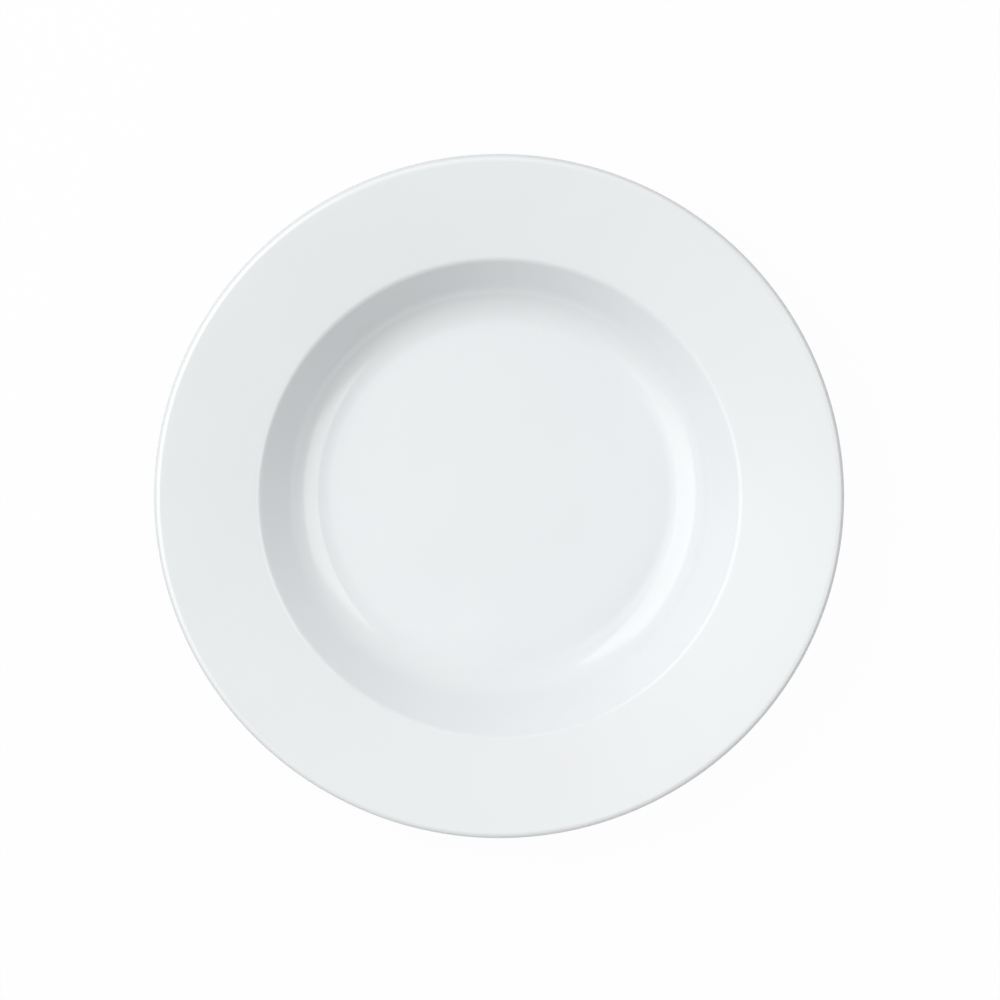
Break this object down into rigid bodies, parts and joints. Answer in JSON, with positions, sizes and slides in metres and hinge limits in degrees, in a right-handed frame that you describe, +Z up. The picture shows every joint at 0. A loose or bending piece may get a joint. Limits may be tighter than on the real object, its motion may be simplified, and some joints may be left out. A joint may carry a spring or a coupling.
{
  "type": "rimmed soup plate",
  "caption": "Round deep plate of white glazed porcelain with a broad sloping rim, a wide steep-sided well and a bare-edged foot ring.",
  "frame": {"origin": "centre of the foot ring, on the table", "axes": "+Z up along the plate's axis of turning; the plate is round, so X and Y are alike"},
  "size_m": [0.24, 0.24, 0.0355],
  "materials": {
    "bisque_porcelain": "matte",
    "clear_glaze": "gloss"
  },
  "bodies": {
    "root": {"porcelain_body": "bisque_porcelain", "glaze_coat": "clear_glaze", "base_glaze": "clear_glaze"}
  },
  "joints": []
}
